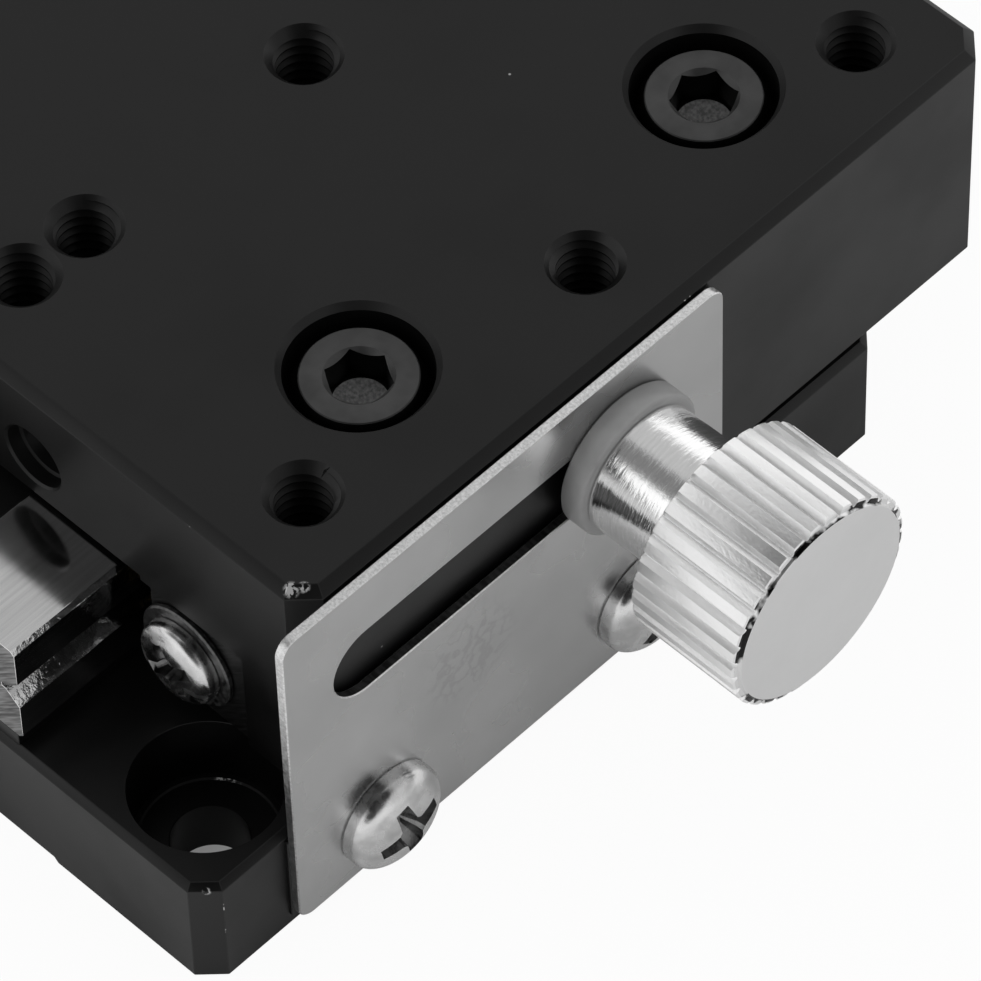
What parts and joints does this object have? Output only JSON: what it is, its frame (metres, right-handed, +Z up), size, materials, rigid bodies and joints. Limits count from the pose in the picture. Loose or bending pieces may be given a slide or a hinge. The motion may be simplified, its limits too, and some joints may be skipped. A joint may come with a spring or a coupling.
{
  "type": "crossed roller linear stage",
  "caption": "Compact single-axis crossed roller stage with a side micrometer drive, spring return, slotted lock plate and knurled lock thumbscrew.",
  "frame": {"origin": "middle of the base's underside, at the centre of its mounting hole pattern", "axes": "+X along the travel towards the micrometer thimble, +Y away from the lock plate, +Z up out of the table"},
  "size_m": [0.077, 0.0653, 0.02],
  "materials": {
    "black_steel": "black chrome on ground steel, low sheen",
    "rail_steel": "hardened and ground",
    "roller_steel": "polished bearing steel",
    "brass": "punched sheet",
    "black_screw": "black oxide on alloy steel",
    "zinc_screw": "bright plated steel",
    "brushed_plate": "brushed stainless sheet",
    "nylon": "natural nylon",
    "nickel": "nickel plated turned steel",
    "spring_steel": "drawn spring wire",
    "satin_chrome": "satin chrome"
  },
  "bodies": {
    "base": {"base_plate": "black_steel", "inner_rail_left": "rail_steel", "inner_rail_right": "rail_steel", "base_rail_screws": "black_screw", "lock_plate": "brushed_plate", "lock_plate_screws": "zinc_screw", "return_spring_left": "spring_steel", "return_spring_right": "spring_steel", "spring_post": "black_steel", "spring_cross_pin": "roller_steel", "spring_post_screw": "black_screw", "micrometer_bracket": "black_steel", "bracket_screws": "black_screw", "bracket_clamp_screw": "black_screw", "micrometer_sleeve": "satin_chrome"},
    "table": {"table": "black_steel", "outer_rail_left": "rail_steel", "outer_rail_right": "rail_steel", "table_rail_screws": "black_screw", "rail_end_screws": "zinc_screw", "rail_end_washers": "zinc_screw", "preload_set_screws": "black_screw", "table_spring_pins": "roller_steel", "anvil_block": "black_steel", "anvil_pin": "roller_steel", "anvil_block_screws": "black_screw"},
    "left_cage": {"roller_cage_left": "brass", "rollers_left": "roller_steel"},
    "right_cage": {"roller_cage_right": "brass", "rollers_right": "roller_steel"},
    "spindle": {"micrometer_spindle": "roller_steel", "spindle_end_screw": "black_screw"},
    "thimble": {"thimble": "satin_chrome", "thimble_cap": "satin_chrome"},
    "washer": {"lock_washer": "nylon"},
    "thumbscrew": {"lock_thumbscrew": "nickel"}
  },
  "joints": [
    {"name": "spindle_feed", "type": "slide", "parent": "base", "child": "spindle", "axis": [1, 0, 0], "range_m": [-0.01281, 0.00021]},
    {"name": "thimble_turn", "type": "hinge", "parent": "spindle", "child": "thimble", "pos_m": [0.045, 0.027, 0.0095], "axis": [1, 0, 0], "range_deg": [-9217, 145]},
    {"name": "table_slide", "type": "slide", "parent": "base", "child": "table", "axis": [1, 0, 0], "range_m": [-0.0128, 0.0002], "deforming": ["return_spring_left", "return_spring_right"]},
    {"name": "left_cage_slide", "type": "slide", "parent": "base", "child": "left_cage", "axis": [1, 0, 0], "range_m": [-0.00641, 0.00011]},
    {"name": "right_cage_slide", "type": "slide", "parent": "base", "child": "right_cage", "axis": [1, 0, 0], "range_m": [-0.00641, 0.00011]},
    {"name": "lock_feed", "type": "slide", "parent": "table", "child": "washer", "axis": [0, -1, 0], "range_m": [0, 0.0005]},
    {"name": "lock_turn", "type": "hinge", "parent": "washer", "child": "thumbscrew", "pos_m": [0.0033, -0.028, 0.0146], "axis": [0, -1, 0], "range_deg": [0, 361]}
  ],
  "couplings": [
    {"joint": "spindle_feed", "follows": "table_slide", "ratio": 1},
    {"joint": "thimble_turn", "follows": "table_slide", "rad_per_m": 12566},
    {"joint": "left_cage_slide", "follows": "table_slide", "ratio": 0.5},
    {"joint": "right_cage_slide", "follows": "table_slide", "ratio": 0.5},
    {"joint": "lock_turn", "follows": "lock_feed", "rad_per_m": 12566}
  ]
}
